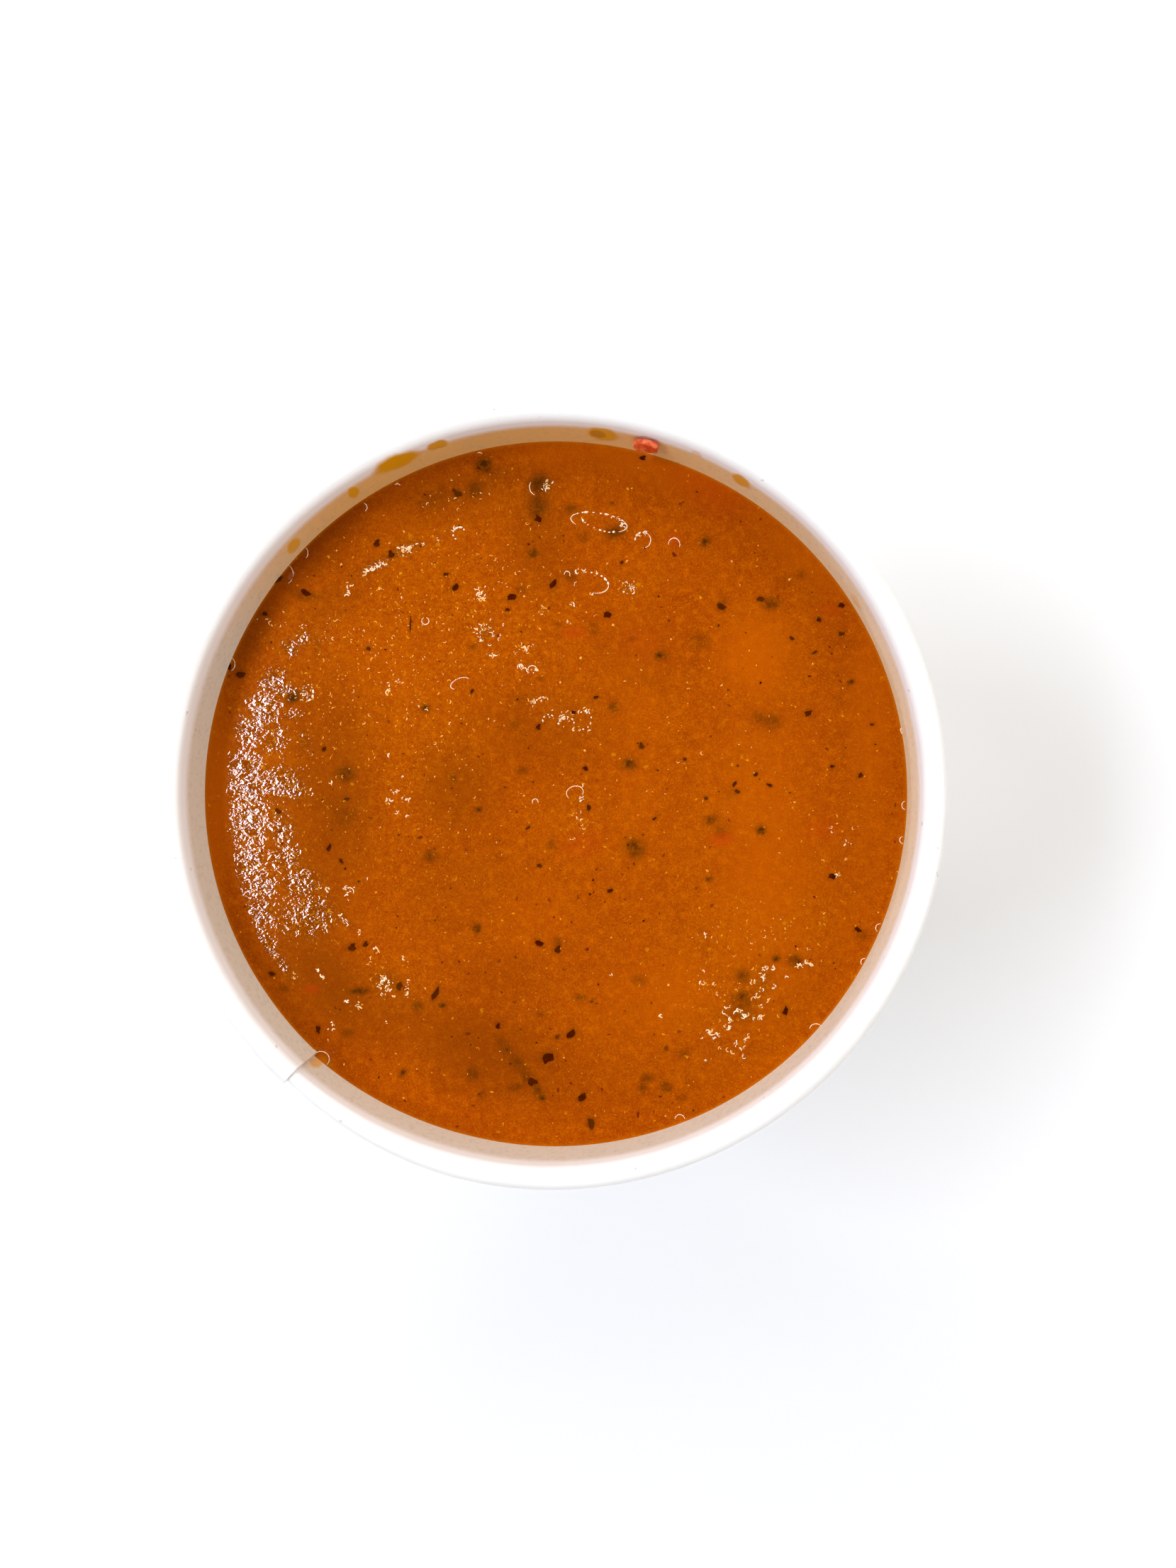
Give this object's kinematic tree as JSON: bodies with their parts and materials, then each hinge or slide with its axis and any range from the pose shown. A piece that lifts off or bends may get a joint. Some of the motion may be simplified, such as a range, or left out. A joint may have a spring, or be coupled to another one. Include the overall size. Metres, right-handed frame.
{
  "type": "tomato soup in a paper soup cup",
  "caption": "Herbed tomato soup with dark herb flakes and small bubbles, filling a round tapered white paper cup with a rolled rim and a glued side seam.",
  "frame": {"origin": "centre of the foot circle, on the surface the cup stands on", "axes": "+Z up along the cup's axis; +X to the right and +Y up in the view from above; the glued seam is at 228 degrees from +X"},
  "size_m": [0.098, 0.098, 0.099],
  "materials": {
    "cup_board": "white uncoated-looking board with a thin film inside, satin",
    "base_board": "white board, satin",
    "tomato_soup": "wet, orange-brown, finely grained, with dark herb flakes",
    "tomato_flesh": "wet, red-orange"
  },
  "bodies": {
    "root": {"cup_wall": "cup_board", "cup_base": "base_board", "soup": "tomato_soup", "tomato_piece": "tomato_flesh"}
  },
  "joints": []
}
